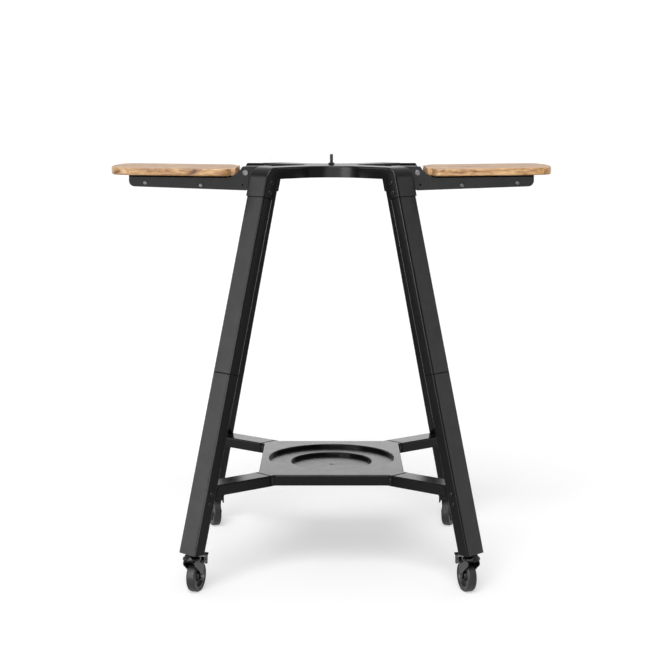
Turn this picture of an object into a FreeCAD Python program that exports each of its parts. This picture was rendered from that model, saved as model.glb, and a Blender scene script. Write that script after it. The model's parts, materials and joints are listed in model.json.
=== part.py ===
import FreeCAD, Part
import os
from math import asin, atan2, cos, degrees, hypot, pi, radians, sin, sqrt, tan

# Outdoor pizza oven table. A pressed X of sheet steel stands on four splayed legs with casters.
# It carries the oven over a centre stud. A shelf below holds a gas bottle, and two side tables
# fold down at the left and the right. Sizes are in millimetres. +Z is up, +Y is the rear and
# the origin is on the floor under the stud. Each corner piece is drawn for the rear right
# corner and mirrored, in a frame whose X runs outwards along that corner's diagonal.
# Each hinge and side table is drawn for the right side, in a frame at its pivots, and mirrored.

V = FreeCAD.Vector

# Legs
TOP_Z = 996.0            # top face of the X above the floor
LEG_TOP_RADIUS = 222.0   # leg axis to centre, at the height of the top face
LEG_TILT = 15.1          # degrees from vertical
LEG_WIDTH = 60.0         # across the diagonal
LEG_DEPTH = 30.0         # along the diagonal
LEG_WALL = 1.5
LEG_CORNER = 4.5
LEG_TOP_BELOW = 26.0     # top face down to the upper end of the leg, inside its socket
SOCKET_BELOW = 72.0      # top face down to the lower end of the socket, on the leg axis
SEAM_BELOW = 483.0       # top face down to the seam between upper and lower leg
SLIP = 0.1               # clearance per side of pieces that plug into each other
JOINER_LENGTH = 120.0
JOINER_WALL = 2.0
PLUG_HEIGHT = 24.0

# Pressed X
SHEET = 2.0
SOCKET_CLEARANCE = 0.15
SKIRT = 28.0             # height of the down-turned edge
SHOULDER_RADIUS = 32.0   # outside bend from the arm to its leg socket
ARMPIT_RADIUS = 12.0
FRONT_HUB_RADIUS = 100.0 # plan curve between two arms, at the front and the rear
SIDE_HUB_RADIUS = 45.0   # the same at the left and the right
TOP_EDGE_RADIUS = 4.5
SOCKET_SCREW_BELOW = (36.0, 59.0)  # top face down to each screw of a leg socket

# Stud that locates the oven: a thread for the nuts, and a plain pin above them
THREAD_RADIUS = 4.0
STUD_RADIUS = 3.8
STUD_ABOVE = 26.0        # top face up to the tip
STUD_BELOW = 22.0        # top face down to the lower end
STUD_CHAMFER = 0.8
STUD_HOLE_GAP = 0.3      # around the thread, in the top face
NUT_FLATS = 13.0
NUT_HEIGHT = 5.0
NUT_CHAMFER = 0.6
THREAD_PAST_NUT = 0.2

# Shelf
SHELF_Z = 257.0
LARGE_STEP_RADIUS = 158.5
LARGE_STEP_DEPTH = 9.5
SMALL_STEP_RADIUS = 101.5
SMALL_STEP_DEPTH = 9.0
SHELF_MARGIN_X = 18.5    # large step to the shelf's left and right edges
SHELF_MARGIN_Y = 43.5    # large step to the front and rear edges
SHELF_SKIRT = 26.0
SHELF_SHEET = 2.0
SHELF_EDGE_RADIUS = 3.5
STEP_LIP = 2.5
DRAIN_RADIUS = 4.0
EAR_CORNER = 4.0         # inside corner between the shelf and an ear
EAR_MARGIN = 0.2         # beside the head of an ear's screw
EAR_SCREW_BELOW = 11.0   # shelf top down to the ear's screws

# Shelf arms
ARM_INSIDE_LEG = 3.0     # an arm is narrower than its leg by this
ARM_GAP = 1.5            # visible joint between ear and arm
ARM_OFFSET_AT_LEG = 1.0  # sideways from the leg axis
TONGUE_LENGTH = 34.0     # into the ear
TONGUE_ROOT = 40.0       # inside the arm
TONGUE_SHEET = 2.5
TONGUE_RAISED = 3.0      # lower edge of the tongue, above the lower edge of the skirt
WELD_INSET = 5.0
WELD_BITE = 0.1          # how far welded pieces run into each other
END_PLATE = 3.0
END_PLATE_BELOW = 9.0    # below the arm
END_PLATE_DROP = 1.5     # from the shelf top down to the plate's upper edge
END_PLATE_INSET = 1.0    # from the arm's sides
END_PLATE_CORNER = 4.0
BRACKET_SHEET = 3.0
BRACKET_BELOW = (5.0, 53.0)     # shelf top down to the bracket's upper and lower edges
BRACKET_INSET = 6.0             # from the leg's far wall
BRACKET_LIP_INSET = 4.0         # from the leg's outer wall
LEG_SCREW_BELOW = (18.0, 42.0)  # shelf top down to the screws in the leg's side
PLATE_SCREW_BELOW = 15.0
PLATE_SCREW_SPACING = 26.0

# Side tables, from the pivots: X outwards, Z up
TABLE_RISE = 0.75        # degrees that the outer end stands up, about the pivots
FOLD_ANGLE = 88.5
FOLD_CLEARANCE = 0.9     # folded flange to the side of the X's arm
BOARD_TOP = 9.9          # top face above the pivots
BOARD_THICK = 17.5
BOARD_INNER = 25.3       # end of the narrow inner part, between the hinge ears
BOARD_SHOULDER = 37.3    # where the board widens
BOARD_OUTER = 332.8      # middle of the bowed outer end
BOARD_END_RADIUS = 535.0 # bow of the outer end
BOARD_OVERHANG = 33.0    # past the pan, at the front and the rear
BOARD_CORNER = 38.0
BOARD_SHOULDER_CORNER = 20.0
BOARD_INSIDE_CORNER = 3.0
BOARD_EDGE_RADIUS = 3.0
BOARD_EAR_GAP = 8.0      # narrow part to the hinge ears
PAN_SHEET = 2.0
PAN_BEND = 5.5           # outside bend between the web and a flange
PAN_INSIDE = 39.0        # flange to the leg axis at the height of the top face, along Y
PAN_INNER = 45.3
PAN_OUTER = 280.3
FLANGE_INNER = -7.5      # end of the flange, past the pivot
FLANGE_TOP = 7.7
FLANGE_TOP_END = 9.5     # where the flange's edge starts to slope down to the board
FLANGE_SLOPE_END = (0.8, 3.9)   # end of that slope, inside the board's shoulder and below the board
FLANGE_SLOPE_RUN = 9.0   # from there on to the bend
FLANGE_OUTER_BELOW = 35.7       # outer end of the flange's lower edge, below the pivots
FLANGE_CORNER = 8.0
FLANGE_OUTER_CORNER = 14.0
FLANGE_TOP_CORNER = 2.5
FLANGE_SLOPE_CORNER = 8.0
FLANGE_BEND_CORNER = 2.0
BRACE_FROM_ENDS = (62.0, 39.5)  # inner brace to the pan's inner end, outer brace to its outer end
BRACE_BELOW = (23.4, 19.1)      # axis of each brace below the board
BRACE_SIDE = 16.0
BRACE_WALL = 1.5
BRACE_END = 3.0
BOARD_SCREW_X = (78.3, 173.3, 258.3)
BOARD_SCREW_Y = 90.0
TABLE_SCREW_LENGTH = 14.0

# Side table hinges
PIVOT_OUT = 45.75        # pivot axis past the point where the ear meets the side of the arm
PIVOT_BELOW = 15.4       # top face down to the pivot axis
PIVOT_RADIUS = 4.0
RUNNING = 0.06           # radial clearance of a piece that turns on a pin
PIVOT_HEAD_RADIUS = 7.0
PIVOT_HEAD = 3.2
PIVOT_HEAD_EDGE = 1.6    # rounding of the head
PIVOT_HEAD_GAP = 0.2     # head to the flange
PIVOT_NUT = 6.5
PIVOT_NUT_FLATS = 13.0
PIVOT_PAST_NUT = 1.0
WASHER = 0.5             # gap between the flange and the ear, for the washer
WASHER_RADIUS = 7.2
WASHER_PLAY = 0.05
HINGE_SHEET = 2.5
HINGE_TOP = 9.9          # top face of the cross plate above the pivots
HINGE_OUTER = 7.3
HINGE_CORNER = 3.0
TAB_REACH = 11.0         # from the ear back along the arm, along X
TAB_HEIGHT = 20.0
TAB_SCREW_LOW = 1.0      # screw of the tab below the tab's middle
EAR_INNER_GAP = 10.0     # ear to the side of the arm
EAR_OUTER = 14.3
EAR_BOTTOM = 34.6        # pivots down to the ear's lower edge
EAR_NOSE = 6.0           # drop of the ear's outer corner below the cross plate
EAR_TOP_INSET = 5.0
EAR_CUT = (14.0, 16.0)   # cut-off lower inner corner, along X and Z
EAR_CORNERS = (3.0, 6.0, 7.0, 12.0, 8.0)
STOP_AT = (6.9, -28.7)   # stop pin from the pivots
STOP_RADIUS = 2.5
STOP_HEAD_RADIUS = 4.0
STOP_HEAD = 1.4
STOP_HEAD_GAP = 0.4      # head to the ear
SLOT_CLEARANCE = 0.3

# Casters, from the swivel axis: X is the way the wheel trails
WHEEL_RADIUS = 37.5
WHEEL_WIDTH = 22.0
TYRE_THICK = 9.0
TYRE_CROWN = 3.5
TYRE_SHOULDER = 2.0      # fall of the tread towards its edges
TYRE_NARROW = 2.0        # per side, at the rim
AXLE_RADIUS = 4.0
AXLE_SLEEVE_RADIUS = 6.1
AXLE_PLAY = 0.1          # hub around the sleeve
AXLE_HEAD = 4.0
AXLE_HEAD_FLATS = 10.0
HUB_BOSS = 4.5           # wall around the sleeve
HUB_RIM = 3.0
HUB_DRAFT = 2.0
HUB_WEB = 6.0
CASTER_TRAIL = 24.0
CASTER_HEADING = 18.5    # rolling direction, degrees from the Y axis
FORK_SHEET = 2.5
FORK_GAP = 1.6           # between the wheel and each cheek
CROWN_GAP = 5.0          # between the wheel and the crown
CROWN_DEPTH = 8.0        # upright edge of the cheeks below the crown
CROWN_PAST_PIN = 5.0     # crown's end past the pedal's pin
FORK_FRONT = (2.0, 5.5)  # cheek's front edge inside the race, at the crown and below it
FORK_TOE = 9.5           # half the width of a cheek at the axle
FORK_WAIST = 12.0        # axle up to where a cheek starts to widen
FORK_CORNERS = (5.0, 8.0, 12.0, 9.0, 9.0, 10.0, 6.0, 2.5)
RACE_RADIUS = 22.0
RACE_HEIGHT = 10.5
RACE_GAP = 0.3           # between the lower and the upper race
RACE_NECK = 5.5          # how much narrower the race's top is
RACE_FOOT = 0.5          # how much narrower its foot is
RACE_CORNERS = (2.5, 4.0, 3.0)
UPPER_RACE_RADIUS = 17.0
UPPER_RACE_HEIGHT = 5.0
UPPER_RACE_TAPER = 4.0
STEM_RADIUS = 5.0
STEM_IN_LEG = 20.0
STEM_END_GAP = 0.4       # stem's end above the crown's underside
PEDAL_SHEET = 2.0
PEDAL_WIDTH = 43.0
PEDAL_GAP = 1.0          # tread above the crown
PEDAL_START_GAP = 2.0    # tread past the race
PEDAL_REACH = 51.0
PEDAL_LIP = (5.0, 4.0)   # run and rise of the pedal's end
PEDAL_LIP_BACK = 1.5     # how far the lip's upper edge stands back
PEDAL_BEND = 3.0
PEDAL_DEPTH = 20.5       # tread down to the lower edge of the skirts
SKIRT_INSET = 1.0        # skirts before the tread's bend
SKIRT_NOSE = (1.0, 4.0)  # front corner of a skirt before the tread, and below the pin
SKIRT_KNEE = (1.0, 2.0)  # middle corner past the pin, and above the lower edge
SKIRT_CORNERS = (4.0, 8.0, 4.0)
SHOE_SHEET = 2.0
SHOE_FROM_END = 9.0      # shoe to the pedal's end
SHOE_DEPTH = 11.4
PEDAL_PIN_TRAIL = 11.0   # pin past the axle
PEDAL_PIN_BELOW = 6.0    # tread down to the pin
PEDAL_PIN_RADIUS = 2.5
PEDAL_PIN_PAST = 1.0     # pin's ends past the skirts
PEDAL_COLLAR_RADIUS = 4.0
PEDAL_COLLAR_GAP = 0.3

# Screws
SCREW_RADIUS = 3.0
SCREW_HEAD_RADIUS = 5.2
SCREW_HEAD = 2.6
SCREW_HEAD_EDGE = 0.5
SCREW_HEAD_BULGE = 0.67
SCREW_SOCKET_RADIUS = 2.0
SCREW_SOCKET_RIM = 0.6
SCREW_SOCKET_DEPTH = 1.4
SCREW_PLAY = 0.05        # of a screw in its hole
FRAME_SCREW_LENGTH = 8.0
PLATE_SCREW_LENGTH = 10.0
HINGE_SCREW_LENGTH = 10.0

PAST = 20.0              # how far a cutting shape reaches past what it cuts

# Values worked out from the sizes above
tilt = radians(LEG_TILT)
leg_out = V(cos(tilt), 0, sin(tilt))
leg_down = V(sin(tilt), 0, -cos(tilt))
arm_half = LEG_WIDTH / 2 + SOCKET_CLEARANCE + SHEET
socket_out = LEG_DEPTH / 2 + SOCKET_CLEARANCE + SHEET
leg_top_z = TOP_Z - LEG_TOP_BELOW
socket_z = TOP_Z - SOCKET_BELOW
seam_z = TOP_Z - SEAM_BELOW

axle_half = WHEEL_WIDTH / 2 + FORK_GAP + FORK_SHEET
crown_z = 2 * WHEEL_RADIUS + CROWN_GAP
crown_top_z = crown_z + FORK_SHEET
race_top_z = crown_top_z + RACE_HEIGHT
foot_z = race_top_z + UPPER_RACE_HEIGHT
foot_radius = LEG_TOP_RADIUS + (TOP_Z - foot_z) * tan(tilt)
tread_z = crown_top_z + PEDAL_GAP
pedal_pin = V(CASTER_TRAIL + PEDAL_PIN_TRAIL, 0, tread_z - PEDAL_PIN_BELOW)

shelf_half_x = LARGE_STEP_RADIUS + SHELF_MARGIN_X
shelf_half_y = LARGE_STEP_RADIUS + SHELF_MARGIN_Y
shelf_bottom_z = SHELF_Z - SHELF_SKIRT
shelf_arm_width = LEG_WIDTH - ARM_INSIDE_LEG
ear_offset = (shelf_half_y - shelf_half_x) / sqrt(2)
ear_root_radius = (shelf_half_x + shelf_half_y) / sqrt(2) - shelf_arm_width / 2
ear_screw_room = SCREW_HEAD_RADIUS + EAR_MARGIN
ear_end_radius = ear_root_radius + EAR_CORNER * tan(pi / 8) + 2 * ear_screw_room

pan_half_y = LEG_TOP_RADIUS / sqrt(2) - PAN_INSIDE
flange_y = pan_half_y - PAN_SHEET
ear_y = flange_y - WASHER
pivot_x = ear_y + arm_half * sqrt(2) + PIVOT_OUT
pivot_z = TOP_Z - PIVOT_BELOW
board_half_y = pan_half_y + BOARD_OVERHANG
board_inner_half_y = ear_y - HINGE_SHEET - BOARD_EAR_GAP
board_bottom = BOARD_TOP - BOARD_THICK
flange_inner_below = PIVOT_OUT - PAN_SHEET - WASHER - FOLD_CLEARANCE
brace_x = (PAN_INNER + BRACE_FROM_ENDS[0], PAN_OUTER - BRACE_FROM_ENDS[1])
brace_z = tuple(board_bottom - below for below in BRACE_BELOW)


# General shapes

def outline(corners, plane="XY"):
    """Closed wire through the corners (a, b) or (a, b, radius), with round corners as arcs."""
    def point(a, b):
        return V(a, b, 0) if plane == "XY" else V(a, 0, b)

    ends = []
    for i, corner in enumerate(corners):
        a, b = corner[0], corner[1]
        radius = corner[2] if len(corner) > 2 else 0.0
        if not radius:
            ends.append((point(a, b), None, point(a, b)))
            continue
        before, after = corners[i - 1], corners[(i + 1) % len(corners)]
        u = V(before[0] - a, before[1] - b, 0).normalize()
        w = V(after[0] - a, after[1] - b, 0).normalize()
        half = u.getAngle(w) / 2
        middle = (u + w).normalize()
        reach = radius / sin(half)
        first = V(a, b, 0) + u * (radius / tan(half))
        last = V(a, b, 0) + w * (radius / tan(half))
        peak = V(a, b, 0) + middle * (reach - radius)
        ends.append((point(first.x, first.y), point(peak.x, peak.y), point(last.x, last.y)))
    edges = []
    for i, (first, peak, last) in enumerate(ends):
        if peak is not None:
            edges.append(Part.Arc(first, peak, last).toShape())
        following = ends[(i + 1) % len(ends)][0]
        if (following - last).Length > 1e-6:
            edges.append(Part.makeLine(last, following))
    return Part.Wire(edges)


def plate(corners, low, high):
    """Outline in the XY plane, raised from the height low to the height high."""
    face = Part.Face(outline(corners))
    face.translate(V(0, 0, low))
    return face.extrude(V(0, 0, high - low))


def side_plate(corners, low, high):
    """Outline in the XZ plane, from Y = low to Y = high."""
    face = Part.Face(outline(corners, "XZ"))
    face.translate(V(0, low, 0))
    return face.extrude(V(0, high - low, 0))


def block(x, y, z):
    """Box between the limits given for each axis."""
    return Part.makeBox(x[1] - x[0], y[1] - y[0], z[1] - z[0], V(x[0], y[0], z[0]))


def rod(radius, start, end):
    """Cylinder from one point to another."""
    axis = end - start
    return Part.makeCylinder(radius, axis.Length, start, axis)


def cross_rod(radius, x, z, start, end):
    """Cylinder along Y between two values of Y."""
    return rod(radius, V(x, start, z), V(x, end, z))


def hexagon(flats, height):
    """Hexagonal prism on Z, from 0 to its height."""
    corner = flats / sqrt(3)
    points = [V(corner * cos(i * pi / 3), corner * sin(i * pi / 3), 0) for i in range(7)]
    return Part.Face(Part.makePolygon(points)).extrude(V(0, 0, height))


def fuse(shapes):
    """One solid out of shapes that overlap or touch."""
    whole = shapes[0]
    for shape in shapes[1:]:
        whole = whole.fuse(shape)
    return whole.removeSplitter()


def cut_all(shape, cutters):
    """Shape without any of the cutters."""
    for cutter in cutters:
        shape = shape.cut(cutter)
    return shape


def rounded(shape, radius, wanted):
    """Shape with every edge rounded for which wanted(edge) holds."""
    edges = [edge for edge in shape.Edges if wanted(edge)]
    return shape.makeFillet(radius, edges)


def same(a, b):
    """True for two sizes that are equal but for rounding."""
    return abs(a - b) < 0.01


def middle_of(edge):
    """Point halfway along an edge."""
    return edge.valueAt((edge.FirstParameter + edge.LastParameter) / 2)


def start_direction(edge):
    """Tangent at the start of an edge."""
    return edge.tangentAt(edge.FirstParameter)


def is_arc(edge):
    return edge.Curve.TypeId == "Part::GeomCircle"


def turned(shape, angle, axis=V(0, 0, 1), centre=V(0, 0, 0)):
    """Copy of the shape, turned by an angle in degrees."""
    copy = shape.copy()
    copy.rotate(centre, axis, angle)
    return copy


def moved(shape, x=0.0, y=0.0, z=0.0):
    """Copy of the shape, moved."""
    copy = shape.copy()
    copy.translate(V(x, y, z))
    return copy


def mirrored(shape, x=False, y=False):
    """Copy of the shape, mirrored to the left when x is set and to the front when y is set."""
    if x:
        shape = shape.mirror(V(0, 0, 0), V(1, 0, 0))
    if y:
        shape = shape.mirror(V(0, 0, 0), V(0, 1, 0))
    return shape


CORNERS = {
    "rear_right": (False, False),
    "rear_left": (True, False),
    "front_right": (False, True),
    "front_left": (True, True),
}


def in_corners(shape):
    """A rear right shape and its mirror images in the other three corners."""
    return [mirrored(shape, *sides) for sides in CORNERS.values()]


def front_and_rear(shape):
    """A rear shape and its mirror image at the front."""
    return [shape, mirrored(shape, y=True)]


def to_corner(shape):
    """Turn a shape from the diagonal frame into the rear right corner."""
    return turned(shape, 45)


def on_leg(shape):
    """Tilt a shape onto the leg: its Z runs up the leg axis and its X faces outwards."""
    return moved(turned(shape, -LEG_TILT, V(0, 1, 0)), LEG_TOP_RADIUS, 0, TOP_Z)


def at_pivot(shape):
    """Move a shape from the pivots' frame to the right side of the table."""
    return moved(shape, pivot_x, 0, pivot_z)


def at_table(shape):
    """The same for a shape of the side table, which stands up a little at its outer end."""
    return at_pivot(turned(shape, -TABLE_RISE, V(0, 1, 0)))


def along_leg(z):
    """Distance along the leg axis from the top face down to the height z."""
    return (TOP_Z - z) / cos(tilt)


def axis_radius(z):
    """Distance of the leg axis from the centre at the height z."""
    return LEG_TOP_RADIUS + (TOP_Z - z) * tan(tilt)


def round_bar(depth, width, corner, upper, lower):
    """Bar with round corners on the leg axis, between two distances from the top face."""
    corners = [
        (-depth / 2, -width / 2, corner),
        (depth / 2, -width / 2, corner),
        (depth / 2, width / 2, corner),
        (-depth / 2, width / 2, corner),
    ]
    return plate(corners, -lower, -upper)


def screw(head_at, direction, length):
    """Button-head screw whose head sits on the point head_at and whose shank runs along direction."""
    direction = V(direction).normalize()
    shank = rod(SCREW_RADIUS, head_at, head_at + direction * length)
    foot = V(SCREW_HEAD_RADIUS, 0, 0)
    rim = V(SCREW_HEAD_RADIUS, 0, SCREW_HEAD_EDGE)
    crown = V(SCREW_SOCKET_RADIUS + SCREW_SOCKET_RIM, 0, SCREW_HEAD)
    chord = crown - rim
    bulge = (rim + crown) * 0.5 + V(chord.z, 0, -chord.x).normalize() * SCREW_HEAD_BULGE
    profile = Part.Wire([
        Part.makeLine(V(0, 0, 0), foot),
        Part.makeLine(foot, rim),
        Part.Arc(rim, bulge, crown).toShape(),
        Part.makeLine(crown, V(0, 0, SCREW_HEAD)),
        Part.makeLine(V(0, 0, SCREW_HEAD), V(0, 0, 0)),
    ])
    head = Part.Face(profile).revolve(V(0, 0, 0), V(0, 0, 1), 360)
    socket = hexagon(SCREW_SOCKET_RADIUS * sqrt(3), SCREW_SOCKET_DEPTH)
    socket.translate(V(0, 0, SCREW_HEAD - SCREW_SOCKET_DEPTH))
    head = head.cut(socket)
    head.Placement = FreeCAD.Placement(head_at, FreeCAD.Rotation(V(0, 0, 1), direction * -1))
    return shank.fuse(head)


def screw_hole(head_at, direction, length):
    """Hole of a screw, a little longer than the screw at both ends."""
    direction = V(direction).normalize()
    return rod(SCREW_RADIUS + SCREW_PLAY, head_at - direction, head_at + direction * (length + 1))


# Places of the frame's screws in the rear right corner, as seats of their heads, directions and lengths

def socket_screws():
    """Screws through the side wall of the leg socket."""
    heights = [TOP_Z - below for below in SOCKET_SCREW_BELOW]
    return [(V(axis_radius(z), arm_half, z), V(0, -1, 0), FRAME_SCREW_LENGTH) for z in heights]


def bracket_screws():
    """Screws through the side of the leg into the bracket."""
    heights = [SHELF_Z - below for below in LEG_SCREW_BELOW]
    return [(V(axis_radius(z), LEG_WIDTH / 2, z), V(0, -1, 0), FRAME_SCREW_LENGTH) for z in heights]


def ear_screws():
    """Screws through the two side walls of a shelf ear."""
    along = ear_end_radius - ear_screw_room
    z = SHELF_Z - EAR_SCREW_BELOW
    half = shelf_arm_width / 2
    return [
        (V(along, ear_offset + half, z), V(0, -1, 0), FRAME_SCREW_LENGTH),
        (V(along, ear_offset - half, z), V(0, 1, 0), FRAME_SCREW_LENGTH),
    ]


def plate_screws():
    """Screws through the arm's end plate, the leg and the bracket."""
    places = []
    for sign in (-1, 1):
        side = ARM_OFFSET_AT_LEG + sign * PLATE_SCREW_SPACING / 2
        seat = leg_wall_point(side, SHELF_Z - PLATE_SCREW_BELOW) - leg_out * END_PLATE
        places.append((seat, leg_out, PLATE_SCREW_LENGTH))
    return places


def hinge_screw():
    """Screw through the tab of the hinge bracket into the side of the arm, from the pivots."""
    inward = V(-1, 1, 0).normalize()
    middle = TAB_REACH / 2
    z = HINGE_TOP - TAB_HEIGHT / 2 - TAB_SCREW_LOW
    seat = V(-PIVOT_OUT - middle, ear_y - middle, z)
    return seat - inward * HINGE_SHEET, inward, HINGE_SCREW_LENGTH


def holes_of(places):
    return [screw_hole(*place) for place in places]


# Pressed X of the top

def arm_profile(inset):
    """Side view of an arm, shoulder and leg socket, in the diagonal frame."""
    top = V(LEG_TOP_RADIUS, 0, TOP_Z)
    face = top + leg_out * (socket_out - inset)
    lip = top - leg_out * (LEG_DEPTH / 2)
    depth = along_leg(socket_z)
    corner = face + leg_down * ((face.z - (TOP_Z - inset)) / cos(tilt))
    if inset:
        end = face + leg_down * (depth + PAST)
        back = lip + leg_down * (depth + PAST) - leg_out * (2 * PAST)
        return [
            (0, TOP_Z - inset), (corner.x, corner.z, SHOULDER_RADIUS - inset), (end.x, end.z),
            (back.x, back.z), (0, TOP_Z - SKIRT - 2 * PAST),
        ]
    end = face + leg_down * depth
    back = lip + leg_down * depth
    armpit = lip + leg_down * ((lip.z - (TOP_Z - SKIRT)) / cos(tilt))
    return [
        (0, TOP_Z), (corner.x, corner.z, SHOULDER_RADIUS), (end.x, end.z), (back.x, back.z),
        (armpit.x, armpit.z, ARMPIT_RADIUS), (0, TOP_Z - SKIRT),
    ]


def hub_plate(inset, low, high):
    """Middle of the X in plan, with a concave curve between each two arms."""
    arcs = []
    for quarter, radius in enumerate((SIDE_HUB_RADIUS, FRONT_HUB_RADIUS) * 2):
        centre = (arm_half + radius) * sqrt(2)
        grown = radius + inset
        reach = grown / sqrt(2)
        ends = [V(centre - reach, side, 0) for side in (-reach, reach)]
        arc = Part.Arc(ends[0], V(centre - grown, 0, 0), ends[1])
        arcs.append(turned(arc.toShape(), 90 * quarter))
    ring = []
    for i, arc in enumerate(arcs):
        following = arcs[(i + 1) % 4]
        first = arc.valueAt(arc.LastParameter)
        last = following.valueAt(following.FirstParameter)
        ring += [arc, Part.makeLine(first, last)]
    face = Part.Face(Part.Wire(ring))
    face.translate(V(0, 0, low))
    return face.extrude(V(0, 0, high - low))


def x_body(inset):
    """The whole X as a filled body, smaller by the inset."""
    half = arm_half - inset
    arm = side_plate(arm_profile(inset), -half, half)
    bottom = TOP_Z - SKIRT - (PAST if inset else 0)
    shapes = [hub_plate(inset, bottom, TOP_Z - inset)]
    shapes += [turned(arm, 45 + 90 * i) for i in range(4)]
    return fuse(shapes)


def on_pressed_edge(edge):
    """True for the bent edges of the X: around the top face, over the shoulders, down the sockets."""
    point = middle_of(edge)
    if same(point.z, TOP_Z):
        outward = V(point.x, point.y, 0).normalize()
        return is_arc(edge) or abs(start_direction(edge).dot(outward)) > 0.5
    quarter = round((degrees(atan2(point.y, point.x)) - 45) / 90)
    local = turned(Part.Vertex(point), -(45 + 90 * quarter)).Point
    if not same(abs(local.y), arm_half):
        return False
    if is_arc(edge):
        return same(edge.Curve.Radius, SHOULDER_RADIUS)
    outward = (local - V(LEG_TOP_RADIUS, 0, TOP_Z)).dot(leg_out)
    return same(outward, socket_out)


def top_frame():
    shape = rounded(x_body(0), TOP_EDGE_RADIUS, on_pressed_edge).cut(x_body(SHEET))
    holes = [rod(THREAD_RADIUS + STUD_HOLE_GAP, V(0, 0, TOP_Z - PAST), V(0, 0, TOP_Z + PAST))]
    for hole in holes_of(socket_screws()):
        holes += in_corners(to_corner(hole))
    holes += in_corners(at_pivot(screw_hole(*hinge_screw())))
    return cut_all(shape, holes)


# Legs

def leg_tube(upper, lower):
    """Tube on the leg axis between two distances from the top face."""
    tube = round_bar(LEG_DEPTH, LEG_WIDTH, LEG_CORNER, upper, lower)
    inner = round_bar(LEG_DEPTH - 2 * LEG_WALL, LEG_WIDTH - 2 * LEG_WALL, LEG_CORNER - LEG_WALL,
                      upper - PAST, lower + PAST)
    return on_leg(tube.cut(inner))


def leg_filling(upper, lower):
    """Solid bar that slides into the leg's tube."""
    depth = LEG_DEPTH - 2 * LEG_WALL - 2 * SLIP
    width = LEG_WIDTH - 2 * LEG_WALL - 2 * SLIP
    return round_bar(depth, width, LEG_CORNER - LEG_WALL - SLIP, upper, lower)


def beyond_leg(at, low, high):
    """Block around the leg axis between two heights, to trim a piece level."""
    reach = 2 * LEG_WIDTH
    return block((at - reach, at + reach), (-reach, reach), (low, high))


def under_foot():
    """Everything below the leg's cut foot."""
    return beyond_leg(foot_radius, foot_z - LEG_WIDTH, foot_z)


def upper_leg():
    shape = leg_tube(0, along_leg(seam_z))
    shape = shape.cut(beyond_leg(LEG_TOP_RADIUS, leg_top_z, TOP_Z + LEG_WIDTH))
    return to_corner(cut_all(shape, holes_of(socket_screws())))


def leg_joiner():
    upper = along_leg(seam_z) - JOINER_LENGTH / 2
    lower = upper + JOINER_LENGTH
    bar = leg_filling(upper, lower)
    depth = LEG_DEPTH - 2 * (LEG_WALL + SLIP + JOINER_WALL)
    width = LEG_WIDTH - 2 * (LEG_WALL + SLIP + JOINER_WALL)
    corner = LEG_CORNER - LEG_WALL - SLIP - JOINER_WALL
    hollow = round_bar(depth, width, corner, upper - PAST, lower + PAST)
    return to_corner(on_leg(bar.cut(hollow)))


def leg_wall_point(side, z):
    """Point on the inner wide face of the leg at the height z, with a sideways offset."""
    return V(axis_radius(z) - LEG_DEPTH / 2 / cos(tilt), side, z)


def lower_leg():
    shape = leg_tube(along_leg(seam_z), along_leg(foot_z) + LEG_DEPTH).cut(under_foot())
    return to_corner(cut_all(shape, holes_of(bracket_screws() + plate_screws())))


def foot_plug():
    bar = leg_filling(along_leg(foot_z + PLUG_HEIGHT), along_leg(foot_z) + LEG_DEPTH)
    shape = on_leg(bar).cut(under_foot())
    low, high = [V(foot_radius, 0, z) for z in (foot_z - 1, foot_z + STEM_IN_LEG + 1)]
    return to_corner(shape.cut(rod(STEM_RADIUS + SCREW_PLAY, low, high)))


# Shelf

def shelf_body(inset, low, high):
    """Filled shelf with its four ears, smaller by the inset."""
    x, y = shelf_half_x - inset, shelf_half_y - inset
    chamfer = shelf_half_x + shelf_half_y - ear_end_radius * sqrt(2) + 0.01
    middle = plate([
        (x, -y + chamfer), (x, y - chamfer), (x - chamfer, y), (-x + chamfer, y),
        (-x, y - chamfer), (-x, -y + chamfer), (-x + chamfer, -y), (x - chamfer, -y),
    ], low, high)
    half = shelf_arm_width / 2 - inset
    end = ear_end_radius + (PAST if inset else 0)
    start = shelf_half_x
    front, rear = ear_offset - half, ear_offset + half
    ear = plate([(start, front), (end, front), (end, rear), (start, rear)], low, high)
    body = fuse([middle] + in_corners(to_corner(ear)))

    def at_ear_root(edge):
        point = middle_of(edge)
        upright = same(abs(start_direction(edge).z), 1)
        return upright and (same(abs(point.x), x) or same(abs(point.y), y))

    return rounded(body, EAR_CORNER + inset, at_ear_root)


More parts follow.
